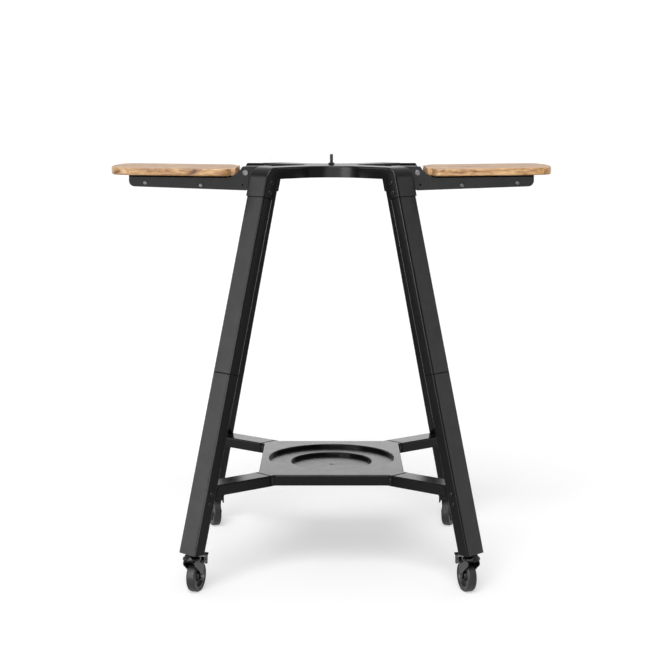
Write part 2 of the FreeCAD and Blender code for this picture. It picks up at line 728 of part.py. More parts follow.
def shelf_tray():
    """Pressed tray with two round steps, skirts and four corner ears."""
    body = shelf_body(0, shelf_bottom_z, SHELF_Z)

    def around_top(edge):
        point = middle_of(edge)
        at_ear_end = same(abs(point.x) + abs(point.y), ear_end_radius * sqrt(2))
        return same(point.z, SHELF_Z) and not at_ear_end

    body = rounded(body, SHELF_EDGE_RADIUS, around_top)
    large_floor = SHELF_Z - LARGE_STEP_DEPTH
    small_floor = large_floor - SMALL_STEP_DEPTH
    steps = ((LARGE_STEP_RADIUS, large_floor), (SMALL_STEP_RADIUS, small_floor))
    under = shelf_body(SHELF_SHEET, shelf_bottom_z - 1, SHELF_Z - SHELF_SHEET)
    for radius, floor in steps:
        under = under.cut(Part.makeCylinder(radius + SHELF_SHEET, SHELF_Z, V(0, 0, floor - SHELF_SHEET)))
    shape = body.cut(under)
    shape = cut_all(shape, [Part.makeCylinder(radius, SHELF_Z, V(0, 0, floor)) for radius, floor in steps])

    def on_lip(edge):
        if not is_arc(edge):
            return False
        z, radius = edge.Curve.Center.z, edge.Curve.Radius
        upper = same(z, SHELF_Z) and same(radius, LARGE_STEP_RADIUS)
        lower = same(z, large_floor) and same(radius, SMALL_STEP_RADIUS)
        return upper or lower

    shape = rounded(shape, STEP_LIP, on_lip)
    holes = [rod(DRAIN_RADIUS, V(0, 0, small_floor - PAST), V(0, 0, SHELF_Z))]
    for hole in holes_of(ear_screws()):
        holes += in_corners(to_corner(hole))
    return cut_all(shape, holes)


def arm_plan(start, end, half):
    """Plan of a shelf arm between two distances from the centre, in the diagonal frame."""
    far = leg_wall_point(0, SHELF_Z).x
    near = ear_end_radius

    def side(radius):
        share = max((radius - near) / (far - near), 0)
        return ear_offset + (ARM_OFFSET_AT_LEG - ear_offset) * share

    bends = [start, near, end] if start < near < end else [start, end]
    upper = [(radius, side(radius) + half) for radius in bends]
    lower = [(radius, side(radius) - half) for radius in reversed(bends)]
    return upper + lower


def shelf_arm():
    """Channel from a shelf ear to its leg, with a tongue in the ear and a plate on the leg."""
    start = ear_end_radius + ARM_GAP
    bottom = shelf_bottom_z
    half = shelf_arm_width / 2
    end = leg_wall_point(0, bottom).x + END_PLATE
    channel = plate(arm_plan(start, end, half), bottom, SHELF_Z)

    def along_top(edge):
        runs_out = abs(start_direction(edge).x) > 0.9
        return same(middle_of(edge).z, SHELF_Z) and runs_out

    channel = rounded(channel, SHELF_EDGE_RADIUS, along_top)
    inside = arm_plan(start - 1, end + 1, half - SHELF_SHEET)
    channel = channel.cut(plate(inside, bottom - 1, SHELF_Z - SHELF_SHEET))
    behind = block((-END_PLATE / 2 - LEG_DEPTH / 2, LEG_WIDTH * 2), (-LEG_WIDTH, LEG_WIDTH),
                   (-along_leg(bottom - LEG_WIDTH), -along_leg(SHELF_Z + LEG_WIDTH)))
    channel = channel.cut(on_leg(behind))

    tongue_half = half - SHELF_SHEET - SLIP
    tongue_top = SHELF_Z - SHELF_SHEET - SLIP
    tongue_start = ear_end_radius - TONGUE_LENGTH
    tongue_end = ear_end_radius + TONGUE_ROOT
    tongue = plate(arm_plan(tongue_start, tongue_end, tongue_half), bottom + TONGUE_RAISED, tongue_top)
    inside = arm_plan(tongue_start - 1, tongue_end + 1, tongue_half - TONGUE_SHEET)
    tongue = tongue.cut(plate(inside, bottom, tongue_top - TONGUE_SHEET))
    weld_plan = arm_plan(start + WELD_INSET, tongue_end - WELD_INSET, half - SHELF_SHEET + WELD_BITE)
    weld = plate(weld_plan, tongue_top - WELD_BITE, tongue_top + SLIP + WELD_BITE)

    plate_half = half - END_PLATE_INSET
    end_plate = block(
        (-LEG_DEPTH / 2 - END_PLATE, -LEG_DEPTH / 2),
        (ARM_OFFSET_AT_LEG - plate_half, ARM_OFFSET_AT_LEG + plate_half),
        (-along_leg(bottom - END_PLATE_BELOW), -along_leg(SHELF_Z - END_PLATE_DROP)))
    end_plate = rounded(end_plate, END_PLATE_CORNER, lambda edge: same(abs(start_direction(edge).x), 1))
    shape = fuse([channel, tongue, weld, on_leg(end_plate)])
    return to_corner(cut_all(shape, holes_of(ear_screws() + plate_screws())))


def leg_bracket():
    """Folded plate inside the leg, for the end plate's screws and the two screws of the leg's side."""
    depth = LEG_DEPTH / 2 - LEG_WALL - SLIP
    width = LEG_WIDTH / 2 - LEG_WALL - SLIP
    sheet = BRACKET_SHEET
    upper, lower = [-along_leg(SHELF_Z - below) for below in BRACKET_BELOW]
    shape = on_leg(plate([
        (-depth, -width + BRACKET_INSET),
        (-depth, width, LEG_CORNER),
        (depth - BRACKET_LIP_INSET, width),
        (depth - BRACKET_LIP_INSET, width - sheet),
        (-depth + sheet, width - sheet, LEG_CORNER - sheet),
        (-depth + sheet, -width + BRACKET_INSET),
    ], lower, upper))
    return to_corner(cut_all(shape, holes_of(bracket_screws() + plate_screws())))


# Stud

def centre_stud():
    thread_top = TOP_Z + NUT_HEIGHT + THREAD_PAST_NUT
    thread = rod(THREAD_RADIUS, V(0, 0, TOP_Z - STUD_BELOW), V(0, 0, thread_top))
    pin = rod(STUD_RADIUS, V(0, 0, TOP_Z), V(0, 0, TOP_Z + STUD_ABOVE))
    stud = fuse([thread, pin])

    def at_an_end(edge):
        z = edge.Curve.Center.z if is_arc(edge) else TOP_Z
        return same(z, TOP_Z - STUD_BELOW) or same(z, TOP_Z + STUD_ABOVE)

    return stud.makeChamfer(STUD_CHAMFER, [edge for edge in stud.Edges if at_an_end(edge)])


def stud_nuts():
    """Thin hexagon nuts above and below the plate."""
    corner = NUT_FLATS / sqrt(3)
    chamfer = Part.makeCone(corner + NUT_HEIGHT, corner - NUT_CHAMFER, NUT_HEIGHT)
    nut = hexagon(NUT_FLATS, NUT_HEIGHT).common(chamfer)
    nut = nut.cut(rod(THREAD_RADIUS + SCREW_PLAY, V(0, 0, -1), V(0, 0, NUT_HEIGHT + 1)))
    upper = moved(nut, 0, 0, TOP_Z)
    lower = moved(turned(nut, 180, V(1, 0, 0)), 0, 0, TOP_Z - SHEET)
    return Part.makeCompound([upper, lower])


# Side tables

def board_screws():
    """Screws through the pan into the board from below, from the pivots."""
    z = board_bottom - PAN_SHEET
    seats = [V(x, y, z) for x in BOARD_SCREW_X for y in (-BOARD_SCREW_Y, BOARD_SCREW_Y)]
    return [(seat, V(0, 0, 1), TABLE_SCREW_LENGTH) for seat in seats]


def brace_screws():
    """Screws through the rear flange into the braces, from the pivots."""
    return [(V(x, pan_half_y, z), V(0, -1, 0), TABLE_SCREW_LENGTH) for x, z in zip(brace_x, brace_z)]


def table_board():
    """Wooden board: a bowed end with round corners, and a narrow inner end between the hinge ears."""
    lean = asin((board_half_y - BOARD_CORNER) / BOARD_END_RADIUS)
    peak = BOARD_OUTER + BOARD_END_RADIUS / cos(lean) - BOARD_END_RADIUS
    upper = [
        (peak - board_half_y * tan(lean), board_half_y, BOARD_CORNER),
        (BOARD_SHOULDER, board_half_y, BOARD_SHOULDER_CORNER),
        (BOARD_SHOULDER, board_inner_half_y, BOARD_INSIDE_CORNER),
        (BOARD_INNER, board_inner_half_y),
    ]
    lower = [(corner[0], -corner[1]) + corner[2:] for corner in reversed(upper)]
    shape = plate([(peak, 0, BOARD_END_RADIUS)] + upper + lower, board_bottom, BOARD_TOP)

    def face_edge(edge):
        point = middle_of(edge)
        level = same(start_direction(edge).z, 0)
        outside = point.x > BOARD_SHOULDER + 0.01 or abs(point.y) > board_inner_half_y + BOARD_INSIDE_CORNER
        return level and outside

    shape = rounded(shape, BOARD_EDGE_RADIUS, face_edge)
    return cut_all(shape, holes_of(board_screws()))


def pan_web():
    """Top of the pan with the two bends, from end to end."""
    y, z = pan_half_y, board_bottom
    inside = PAN_BEND - PAN_SHEET
    section = [
        (-y, z - PAN_BEND), (-y, z, PAN_BEND), (y, z, PAN_BEND), (y, z - PAN_BEND),
        (flange_y, z - PAN_BEND), (flange_y, z - PAN_SHEET, inside),
        (-flange_y, z - PAN_SHEET, inside), (-flange_y, z - PAN_BEND),
    ]
    return turned(side_plate(section, -PAN_OUTER, -PAN_INNER), 90)


def table_flange():
    """Rear flange below the bend, with the arm that rises to its pivot."""
    bend = board_bottom - PAN_BEND
    slope_x = BOARD_SHOULDER - FLANGE_SLOPE_END[0]
    slope_z = board_bottom - FLANGE_SLOPE_END[1]
    flange = side_plate([
        (PAN_OUTER, bend),
        (PAN_OUTER, -FLANGE_OUTER_BELOW, FLANGE_OUTER_CORNER),
        (FLANGE_INNER, -flange_inner_below, FLANGE_CORNER),
        (FLANGE_INNER, FLANGE_TOP, FLANGE_TOP_CORNER),
        (FLANGE_TOP_END, FLANGE_TOP, FLANGE_TOP_CORNER),
        (slope_x, slope_z, FLANGE_SLOPE_CORNER),
        (slope_x + FLANGE_SLOPE_RUN, bend, FLANGE_BEND_CORNER),
    ], flange_y, pan_half_y)
    holes = holes_of(brace_screws())
    holes.append(cross_rod(PIVOT_RADIUS + RUNNING, 0, 0, flange_y - 1, pan_half_y + 1))
    holes.append(cross_rod(STOP_RADIUS, *STOP_AT, flange_y - 1, pan_half_y + 1))
    return cut_all(flange, holes)


def table_pan():
    """Sheet under the board, with a tapered flange at the front and the rear that reaches its pivot."""
    shape = fuse([pan_web()] + front_and_rear(table_flange()))
    return cut_all(shape, holes_of(board_screws()))


def table_braces():
    """Two square tubes between the flanges."""
    tubes = []
    half = BRACE_SIDE / 2
    inner = half - BRACE_WALL
    length = flange_y - SLIP
    ends = length - BRACE_END
    for x, z in zip(brace_x, brace_z):
        tube = block((x - half, x + half), (-length, length), (z - half, z + half))
        tubes.append(tube.cut(block((x - inner, x + inner), (-ends, ends), (z - inner, z + inner))))
    holes = []
    for hole in holes_of(brace_screws()):
        holes += front_and_rear(hole)
    return Part.makeCompound([cut_all(tube, holes) for tube in tubes])


def stop_pin():
    """Rear riveted pin that moves with the table and rides in the arc slot of the hinge ear."""
    inner = ear_y - HINGE_SHEET - STOP_HEAD_GAP
    pin = cross_rod(STOP_RADIUS, *STOP_AT, inner, pan_half_y)
    head = cross_rod(STOP_HEAD_RADIUS, *STOP_AT, inner - STOP_HEAD, inner)
    return fuse([pin, head])


def table_fasteners():
    """Screws of the braces and of the board, and the stop pins: they all move with the table."""
    pieces = front_and_rear(stop_pin())
    for place in brace_screws():
        pieces += front_and_rear(screw(*place))
    pieces += [screw(*place) for place in board_screws()]
    return Part.makeCompound(pieces)


# Hinges

def arc_slot():
    """Slot in the rear ear, swept by the stop pin as the table folds."""
    x, z = STOP_AT
    radius = hypot(x, z)
    half = STOP_RADIUS + SLOT_CLEARANCE
    start = degrees(atan2(z, x)) + TABLE_RISE
    steps = [radians(start - FOLD_ANGLE * share) for share in (0, 0.5, 1)]

    def point(reach, angle):
        return V(reach * cos(angle), 0, reach * sin(angle))

    def arc(reach):
        return Part.Arc(*[point(reach, step) for step in steps]).toShape()

    def cap(step, way):
        tip = point(radius, step) + V(-sin(step), 0, cos(step)) * (half * way)
        return Part.Arc(point(radius - half, step), tip, point(radius + half, step)).toShape()

    edges = [arc(radius - half), arc(radius + half), cap(steps[0], 1), cap(steps[2], -1)]
    face = Part.Face(Part.Wire(Part.__sortEdges__(edges)))
    face.translate(V(0, ear_y - HINGE_SHEET - 1, 0))
    return face.extrude(V(0, HINGE_SHEET + 2, 0))


def hinge_ear():
    """Rear ear of the hinge bracket, with its pivot hole and arc slot."""
    top_corner, nose, outer_foot, cut_corner, inner_foot = EAR_CORNERS
    inner = -PIVOT_OUT + EAR_INNER_GAP
    ear = side_plate([
        (HINGE_OUTER, PIVOT_BELOW, top_corner),
        (EAR_OUTER, HINGE_TOP - EAR_NOSE, nose),
        (EAR_OUTER, -EAR_BOTTOM, outer_foot),
        (inner + EAR_CUT[0], -EAR_BOTTOM, cut_corner),
        (inner, -EAR_BOTTOM + EAR_CUT[1], inner_foot),
        (inner, HINGE_TOP),
        (inner + EAR_TOP_INSET, PIVOT_BELOW, top_corner),
    ], ear_y - HINGE_SHEET, ear_y)
    pivot = cross_rod(PIVOT_RADIUS + SCREW_PLAY, 0, 0, ear_y - HINGE_SHEET - 1, ear_y + 1)
    return ear.cut(pivot).cut(arc_slot())


def hinge_tab():
    """Rear tab of the hinge bracket, flat on the side of the arm."""
    thick = HINGE_SHEET * sqrt(2)
    near, far = -PIVOT_OUT, -PIVOT_OUT - TAB_REACH
    tab = plate([
        (far, ear_y - TAB_REACH), (near, ear_y), (near + thick, ear_y), (far + thick, ear_y - TAB_REACH),
    ], HINGE_TOP - TAB_HEIGHT, HINGE_TOP)
    return tab.cut(screw_hole(*hinge_screw()))


def hinge_bracket():
    """Cross plate between two arms, with a pivot ear and a mitred tab at each end."""
    near, far = -PIVOT_OUT, -PIVOT_OUT - TAB_REACH
    rear = [(HINGE_OUTER, ear_y, HINGE_CORNER), (near, ear_y), (far, ear_y - TAB_REACH)]
    front = [(corner[0], -corner[1]) + corner[2:] for corner in reversed(rear)]
    web = plate(rear + front, HINGE_TOP - HINGE_SHEET, HINGE_TOP)
    return fuse([web] + front_and_rear(hinge_ear()) + front_and_rear(hinge_tab()))


def pivot_bolts():
    """Bolt, nut and washer of each pivot: they stay with the hinge bracket."""
    outer = pan_half_y + PIVOT_HEAD_GAP
    inner = ear_y - HINGE_SHEET
    shank = cross_rod(PIVOT_RADIUS, 0, 0, inner - PIVOT_NUT - PIVOT_PAST_NUT, outer)
    head = cross_rod(PIVOT_HEAD_RADIUS, 0, 0, outer, outer + PIVOT_HEAD)
    head = rounded(head, PIVOT_HEAD_EDGE, lambda edge: same(edge.CenterOfMass.y, outer + PIVOT_HEAD))
    nut = moved(turned(hexagon(PIVOT_NUT_FLATS, PIVOT_NUT), 90, V(1, 0, 0)), 0, inner, 0)
    washer = cross_rod(WASHER_RADIUS, 0, 0, ear_y + WASHER_PLAY, flange_y - WASHER_PLAY)
    return Part.makeCompound(front_and_rear(fuse([shank, head, nut, washer])))


# Casters

def both_ways(corners):
    """Half outline (radius, half width, rounding) of a wheel piece, completed by its mirror image."""
    return corners + [(corner[0], -corner[1]) + corner[2:] for corner in reversed(corners)]


def on_axle(corners):
    """Revolve a half outline about the wheel's axle."""
    wheel = Part.Face(outline(both_ways(corners))).revolve(V(0, 0, 0), V(0, 1, 0), 360)
    return moved(wheel, CASTER_TRAIL, 0, WHEEL_RADIUS)


def tyre():
    rim = WHEEL_RADIUS - TYRE_THICK
    half = WHEEL_WIDTH / 2
    return on_axle([
        (rim, half - TYRE_NARROW),
        (WHEEL_RADIUS - TYRE_SHOULDER, half, TYRE_CROWN / 2),
        (WHEEL_RADIUS, half - TYRE_CROWN, TYRE_CROWN),
    ])


def wheel_hub():
    """Moulded wheel centre with a dished web, rim and sleeve bore."""
    half = WHEEL_WIDTH / 2
    bore = AXLE_SLEEVE_RADIUS + AXLE_PLAY
    boss = bore + HUB_BOSS
    rim = WHEEL_RADIUS - TYRE_THICK
    rim_half = half - TYRE_NARROW
    web = HUB_WEB / 2
    return on_axle([
        (bore, half),
        (boss, half),
        (boss + HUB_DRAFT, web, HUB_DRAFT),
        (rim - HUB_RIM - HUB_DRAFT, web, HUB_DRAFT),
        (rim - HUB_RIM, rim_half),
        (rim, rim_half),
    ])


def caster_axle():
    """Axle bolt with its spacer sleeve, head and nut."""
    x, z = CASTER_TRAIL, WHEEL_RADIUS
    shank = cross_rod(AXLE_RADIUS, x, z, -axle_half - 1, axle_half + 1)
    sleeve_half = WHEEL_WIDTH / 2 + FORK_GAP - WASHER_PLAY
    sleeve = cross_rod(AXLE_SLEEVE_RADIUS, x, z, -sleeve_half, sleeve_half)
    head = moved(turned(hexagon(AXLE_HEAD_FLATS, AXLE_HEAD), -90, V(1, 0, 0)), x, axle_half, z)
    return fuse([shank, sleeve] + front_and_rear(head))


def caster_fork():
    """Pressed fork: crown plate, domed lower race and two tapering cheeks."""
    front, front_below = [-RACE_RADIUS + inside for inside in FORK_FRONT]
    rear = pedal_pin.x + CROWN_PAST_PIN
    left, right = CASTER_TRAIL - FORK_TOE, CASTER_TRAIL + FORK_TOE
    waist, toe = WHEEL_RADIUS + FORK_WAIST, WHEEL_RADIUS - FORK_TOE
    places = [
        (front, crown_top_z), (front_below, crown_z - CROWN_DEPTH), (left, waist), (left, toe),
        (right, toe), (right, waist), (rear, crown_z - CROWN_DEPTH), (rear, crown_top_z),
    ]
    corners = [place + (radius,) for place, radius in zip(places, FORK_CORNERS)]
    body = side_plate(corners, -axle_half, axle_half)
    inner = axle_half - FORK_SHEET
    body = body.cut(block((front - PAST, rear + PAST), (-inner, inner), (0, crown_z)))
    race_top = race_top_z - RACE_GAP
    foot, bulge, neck = RACE_CORNERS
    race = Part.Face(outline([
        (0, crown_top_z),
        (RACE_RADIUS - RACE_FOOT, crown_top_z, foot),
        (RACE_RADIUS, crown_top_z + RACE_HEIGHT / 2, bulge),
        (RACE_RADIUS - RACE_NECK, race_top, neck),
        (0, race_top),
    ], "XZ")).revolve(V(0, 0, 0), V(0, 0, 1), 360)
    reach = axle_half + 1
    return cut_all(fuse([body, race]), [
        rod(STEM_RADIUS + RUNNING, V(0, 0, crown_z - 1), V(0, 0, race_top_z + 1)),
        cross_rod(AXLE_RADIUS + SCREW_PLAY, CASTER_TRAIL, WHEEL_RADIUS, -reach, reach),
        cross_rod(PEDAL_PIN_RADIUS + RUNNING, pedal_pin.x, pedal_pin.z, -reach, reach),
    ])


def caster_stem():
    """Threaded stem with the upper race that meets the leg's foot."""
    stem = rod(STEM_RADIUS, V(0, 0, crown_z + STEM_END_GAP), V(0, 0, foot_z + STEM_IN_LEG))
    race = Part.makeCone(UPPER_RACE_RADIUS, UPPER_RACE_RADIUS - UPPER_RACE_TAPER, UPPER_RACE_HEIGHT,
                         V(0, 0, race_top_z))
    return fuse([stem, race])


def brake_pedal():
    """Foot pedal over the trailing side of the fork: tread, side skirts, brake shoe and pin."""
    half = PEDAL_WIDTH / 2
    inner = half - PEDAL_SHEET
    low, top = tread_z, tread_z + PEDAL_SHEET
    start = RACE_RADIUS + PEDAL_START_GAP
    run, rise = PEDAL_LIP
    bend = PEDAL_REACH - run
    skirt_end = bend - SKIRT_INSET
    tread = side_plate([
        (start, low), (bend, low, PEDAL_BEND), (PEDAL_REACH, low + rise),
        (PEDAL_REACH - PEDAL_LIP_BACK, top + rise), (skirt_end, top, PEDAL_BEND), (start, top),
    ], -half, half)
    inside_tread = low + PEDAL_SHEET / 2
    skirt_z = tread_z - PEDAL_DEPTH
    nose, knee, heel = SKIRT_CORNERS
    skirt = side_plate([
        (start, inside_tread), (start - SKIRT_NOSE[0], pedal_pin.z - SKIRT_NOSE[1], nose),
        (pedal_pin.x + SKIRT_KNEE[0], skirt_z + SKIRT_KNEE[1], knee),
        (skirt_end - SKIRT_INSET, skirt_z, heel), (skirt_end, inside_tread),
    ], inner, half)
    shoe_x = PEDAL_REACH - SHOE_FROM_END
    shoe_bottom = tread_z - SHOE_DEPTH
    shoe = block((shoe_x, shoe_x + SHOE_SHEET), (-inner, inner), (shoe_bottom, inside_tread))
    pin_end = half + PEDAL_PIN_PAST
    pin = cross_rod(PEDAL_PIN_RADIUS, pedal_pin.x, pedal_pin.z, -pin_end, pin_end)
    collar_start, collar_end = axle_half + PEDAL_COLLAR_GAP, inner + PEDAL_SHEET / 2
    collar = cross_rod(PEDAL_COLLAR_RADIUS, pedal_pin.x, pedal_pin.z, collar_start, collar_end)
    return fuse([tread, shoe, pin] + front_and_rear(skirt) + front_and_rear(collar))


def at_caster(shape):
    """Turn a caster piece to its heading and move it under the rear right leg."""
    reach = foot_radius / sqrt(2)
    return moved(turned(shape, -90 - CASTER_HEADING), reach, reach, 0)


# Whole table

def frame_screws():
    """Screws that stay with the frame."""
    places = socket_screws() + bracket_screws() + ear_screws() + plate_screws()
    corner = [to_corner(screw(*place)) for place in places] + [at_pivot(screw(*hinge_screw()))]
    everywhere = []
    for shape in corner:
        everywhere += in_corners(shape)
    return Part.makeCompound(everywhere)


def write(name, shape):
    shape.exportStep("parts/" + name + ".step")


def main():
    os.makedirs("parts", exist_ok=True)
    write("top_frame", top_frame())
    write("centre_stud", centre_stud())
    write("stud_nuts", stud_nuts())
    write("shelf_tray", shelf_tray())
    write("frame_screws", frame_screws())
    write("leg_joiners", Part.makeCompound(in_corners(leg_joiner())))
    write("leg_brackets", Part.makeCompound(in_corners(leg_bracket())))
    corner_pieces = {
        "upper_leg": upper_leg(),
        "lower_leg": lower_leg(),
        "foot_plug": foot_plug(),
        "shelf_arm": shelf_arm(),
        "caster_stem": at_caster(caster_stem()),
        "caster_fork": at_caster(caster_fork()),
        "caster_axle": at_caster(caster_axle()),
        "wheel_hub": at_caster(wheel_hub()),
        "tyre": at_caster(tyre()),
        "brake_pedal": at_caster(brake_pedal()),
    }
    for corner, sides in CORNERS.items():
        for name, shape in corner_pieces.items():
            write(corner + "_" + name, mirrored(shape, *sides))
    side_pieces = {
        "table_board": at_table(table_board()),
        "table_pan": at_table(table_pan()),
        "table_braces": at_table(table_braces()),
        "table_fasteners": at_table(table_fasteners()),
        "hinge_bracket": at_pivot(hinge_bracket()),
        "pivot_bolts": at_pivot(pivot_bolts()),
    }
    for name, shape in side_pieces.items():
        write("right_" + name, shape)
        write("left_" + name, mirrored(shape, x=True))


main()
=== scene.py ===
import json
import math

import bpy
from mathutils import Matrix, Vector

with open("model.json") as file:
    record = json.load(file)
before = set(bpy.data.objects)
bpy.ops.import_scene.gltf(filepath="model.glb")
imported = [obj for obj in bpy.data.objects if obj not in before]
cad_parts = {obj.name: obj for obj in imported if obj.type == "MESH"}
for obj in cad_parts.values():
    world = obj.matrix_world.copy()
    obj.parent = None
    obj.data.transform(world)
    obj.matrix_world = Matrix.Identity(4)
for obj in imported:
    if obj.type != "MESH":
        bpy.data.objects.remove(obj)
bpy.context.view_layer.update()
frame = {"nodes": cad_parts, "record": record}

# camera, fitted to the photograph: metres, degrees and millimetres
CAMERA_PLACE = (0.0, -4.026, 1.144)
CAMERA_PITCH = 8.025
CAMERA_REACH = 200
FOCAL = 87.65
SENSOR = 36.0
SHIFT_X = 0.0016

# the splayed legs: the height of the top face, and how far out and how tilted their axes are there
TOP_Z = 0.996
LEG_TOP_RADIUS = 0.222
LEG_TILT = math.radians(15.1)

# joint lines between painted pieces, painted near black as the shade in the gaps and under the
# sockets' ends: how far below the top face the sockets end and the legs are joined, how far out
# the shelf's ears meet the arms, half the width of each line, and its depth
SOCKET_DROP = 0.072
SEAM_DROP = 0.483
EAR_JOINT = 0.2527
LEG_JOINT_HALF = 0.0012
EAR_JOINT_HALF = 0.0026
JOINT_DEPTH = 0.0008

# light: two suns, an even world, and softboxes that show in reflections alone
KEY_FROM = (-0.18, -1.0, 1.0)
KEY_STRENGTH = 2.3
KEY_ANGLE = 34
TOP_FROM = (-0.25, 0.05, 1.0)
TOP_STRENGTH = 0.25
TOP_ANGLE = 70
AMBIENT = 0.32
# place, what it faces, width and height in metres, and brightness where 1 is white
SOFTBOXES = {
    "left_softbox": ((-4.0, -0.08, 1.35), (0.0, -0.08, 1.1), 0.66, 3.1, 6.0),
    "right_softbox": ((4.0, -0.08, 1.35), (0.0, -0.08, 1.1), 0.66, 3.1, 2.7),
    "front_softbox": ((-3.4, -4.0, 1.75), (0.0, 0.0, 1.2), 2.4, 1.9, 16.0),
    "low_softbox": ((-0.8, -5.0, 0.7), (-0.8, 0.0, 0.8), 4.6, 0.9, 4.1),
    "top_softbox": ((-0.5, -1.3, 4.2), (0.0, 0.0, 0.4), 2.6, 1.2, 13.0),
    "rear_softbox": ((0.0, 2.2, 0.62), (0.0, 0.0, 0.4), 3.6, 0.6, 0.9),
}
# the side softboxes would whiten these flat tops in a view from the side
SIDE_SOFTBOXES = ("left_softbox", "right_softbox")
FLAT_TOPS = ("left_table_board", "right_table_board", "shelf_tray")

# the floor: its size, its grey as light, its roughness, and how much white is added to it where
# the camera or a reflection sees it
FLOOR_SIZE = 60.0
FLOOR_COLOUR = 0.62
FLOOR_ROUGH = 0.9
FLOOR_LIFT = 0.48

# what a reflection sees past the floor: white behind the object, darker at its sides, darkest in
# front and light grey overhead. Ends are where a change starts and stops, upwards or rearwards
OVERHEAD = 0.70
HORIZON_ENDS = (0.28, 0.60)
FRONT_SHARE = 0.25
SIDE_SHARE = 0.45
SIDE_ENDS = (-0.6, -0.1)
REAR_ENDS = (0.35, 0.85)

# how sharp an edge of the CAD mesh has to be to stay sharp, in degrees
SHARP = 32

# colours as they look on screen, red, green and blue from 0 to 255
PAINT_DARK = (10, 10, 11)
PAINT_LIGHT = (15, 15, 16)
WOOD_LIGHT = (229, 186, 130)
WOOD_MIDDLE = (200, 150, 94)
WOOD_DARK = (104, 62, 32)
WOOD_KNOT = (60, 34, 19)
ZINC_DARK = (84, 84, 86)
ZINC_LIGHT = (112, 112, 115)
SCREW_DARK = (14, 14, 15)
SCREW_LIGHT = (22, 22, 23)
OXIDE = (12, 12, 13)
CASTER_DARK = (11, 11, 12)
CASTER_LIGHT = (16, 16, 17)
PLASTIC = (44, 44, 45)
RUBBER_DARK = (26, 26, 27)
RUBBER_LIGHT = (38, 38, 39)
PLUG = (28, 28, 29)
# the near black of the joint lines, painted shade in the gaps and under the sockets' ends
GAP_SHADE = (3, 3, 3)

# white as a node takes it
WHITE = (1.0, 1.0, 1.0, 1.0)

# powder coat: the frame's roughness and gloss, how fine the slow tone, the changing gloss, the
# orange peel and the grain are, and how deep the last two
PAINT_ROUGH = 0.24
PAINT_GLOSS = 0.165
TONE_SCALE = 9
GLOSS_SCALE = 35
GLOSS_CHANGE = 0.025
PEEL_SCALE = 420
PEEL_DEPTH = 0.00006
GRAIN_SCALE = 2600
GRAIN_DEPTH = 0.00001

# wood: the width of a glued strip, how far apart in the tree strips are cut, how fine each kind
# of mark is along the board and across it, how deep its bump is, and the roughness and gloss
STRIP_WIDTH = 0.062
STRIP_JUMP = 3.0
FIGURE_SCALE = (11, 42, 42)
RING_SCALE = (24, 130, 130)
RING_DEPTH = 0.00015
PORE_SCALE = (90, 2300, 2300)
PORE_DEPTH = 0.00006
KNOT_SCALE = (6.5, 17, 17)
WOOD_ROUGH = (0.32, 0.44)
WOOD_GLOSS = 0.48

# zinc plate, and within what distance of the middle a table fastener is a blackened stop pin
ZINC_ROUGH = 0.42
CLOUD_SCALE = 160
SCRATCH_SCALE = 900
SCRATCH_DEPTH = 0.00002
PINS_WITHIN = 0.26

# moulded plastic and rubber
MOULDED_GLOSS = 0.4
MOULDED_TONE_SCALE = 30
MOULDED_ROUGH_SCALE = 70
MOULDED_ROUGH_CHANGE = 0.06


def linear(value):
    """One screen value, 0 to 255, as light, by the sRGB curve."""
    part = value / 255
    if part <= 0.04045:
        return part / 12.92
    return ((part + 0.055) / 1.055) ** 2.4


def colour(screen):
    """A screen colour as the four numbers a node takes."""
    return tuple(linear(value) for value in screen) + (1.0,)


class Nodes:
    """A node tree in the making. Each method adds nodes and returns the output to go on with."""

    def __init__(self, tree):
        self.tree = tree

    def add(self, kind):
        return self.tree.nodes.new(kind)

    def feed(self, socket, value):
        """Links an output to the socket, or sets a plain number or colour on it."""
        if isinstance(value, bpy.types.NodeSocket):
            self.tree.links.new(value, socket)
        else:
            socket.default_value = value

    def axes(self, vector):
        """The X, Y and Z of a vector."""
        node = self.add("ShaderNodeSeparateXYZ")
        self.feed(node.inputs[0], vector)
        return node.outputs

    def maths(self, kind, first, second=0.0):
        node = self.add("ShaderNodeMath")
        node.operation = kind
        self.feed(node.inputs[0], first)
        self.feed(node.inputs[1], second)
        return node.outputs[0]

    def chosen(self, share, without, fully):
        """A number that goes from one value to the other as the share goes from 0 to 1."""
        node = self.add("ShaderNodeMix")
        self.feed(node.inputs["Factor"], share)
        self.feed(node.inputs["A"], without)
        self.feed(node.inputs["B"], fully)
        return node.outputs["Result"]

    def eased(self, value, ends, first, second):
        """A number that goes softly from the first to the second as the value crosses the ends."""
        node = self.add("ShaderNodeMapRange")
        node.interpolation_type = "SMOOTHSTEP"
        for name, number in zip(("From Min", "From Max", "To Min", "To Max"), (*ends, first, second)):
            node.inputs[name].default_value = number
        self.feed(node.inputs["Value"], value)
        return node.outputs["Result"]


